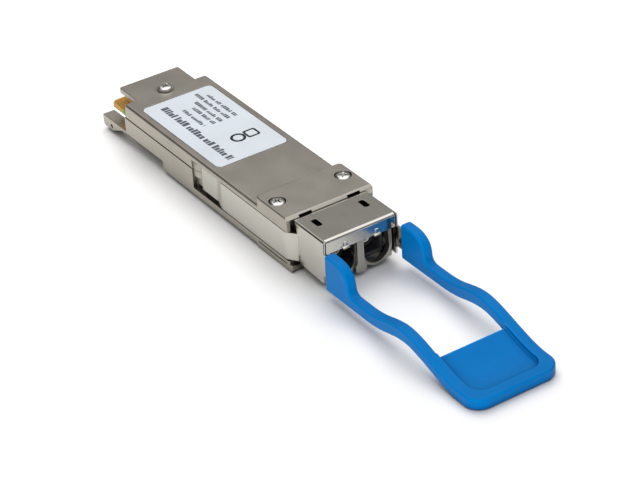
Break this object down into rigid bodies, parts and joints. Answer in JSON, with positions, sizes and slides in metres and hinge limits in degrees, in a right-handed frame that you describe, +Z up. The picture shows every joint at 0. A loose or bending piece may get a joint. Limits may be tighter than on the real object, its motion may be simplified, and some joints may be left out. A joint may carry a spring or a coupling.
{
  "type": "pluggable optical transceiver module",
  "caption": "Metal pluggable optical transceiver with a duplex fibre port, card-edge contacts, sliding release latch and a moulded pull tab.",
  "frame": {"origin": "centre of the flat underside that slides in a cage", "axes": "+X across the width, -Y forward to the fibre port and the pull tab, +Y rearward to the card edge, +Z up out of the top cover"},
  "size_m": [0.0184, 0.1186, 0.0109],
  "materials": {
    "die_cast": "satin die-cast zinc with nickel plating",
    "cover_metal": "satin nickel-plated die-cast zinc",
    "sheet_steel": "polished stainless sheet",
    "screw_steel": "bright nickel plating",
    "blue_elastomer": "satin moulded elastomer",
    "label_paper": "matt printed film",
    "board": "green solder mask",
    "gold": "hard gold plating",
    "ic_black": "matt moulding compound",
    "ferrite": "sintered ferrite",
    "thermal_pad": "soft filled silicone",
    "polyimide": "amber polyimide film",
    "zirconia": "polished ceramic",
    "port_plastic": "glass-filled moulding",
    "gasket": "conductive silicone",
    "clamp_steel": "pressed steel",
    "spring_steel": "drawn spring wire"
  },
  "bodies": {
    "housing": {"bottom_shell": "die_cast", "top_cover": "cover_metal", "screw_rear": "screw_steel", "screw_front_left": "screw_steel", "screw_front_right": "screw_steel", "label": "label_paper", "circuit_board": "board", "contact_row_top": "gold", "contact_row_bottom": "gold", "driver_chip": "ic_black", "receiver_chip": "ic_black", "controller_chip": "ic_black", "memory_chip": "ic_black", "power_inductor": "ferrite", "thermal_pad_driver": "thermal_pad", "thermal_pad_receiver": "thermal_pad", "transmitter_optic": "gold", "receiver_optic": "gold", "flex_transmit": "polyimide", "flex_receive": "polyimide", "ferrule_sleeve_transmit": "zirconia", "ferrule_sleeve_receive": "zirconia", "optic_clamp": "clamp_steel", "port_receptacle": "port_plastic", "conductive_gasket": "gasket", "return_spring_left": "spring_steel", "return_spring_right": "spring_steel"},
    "latch": {"latch_slider": "sheet_steel", "pull_tab": "blue_elastomer"}
  },
  "joints": [
    {"name": "latch_pull", "type": "slide", "parent": "housing", "child": "latch", "axis": [0, -1, 0], "range_m": [0, 0.0025], "stiffness_N_per_m": 800, "deforming": ["return_spring_left", "return_spring_right"]}
  ]
}
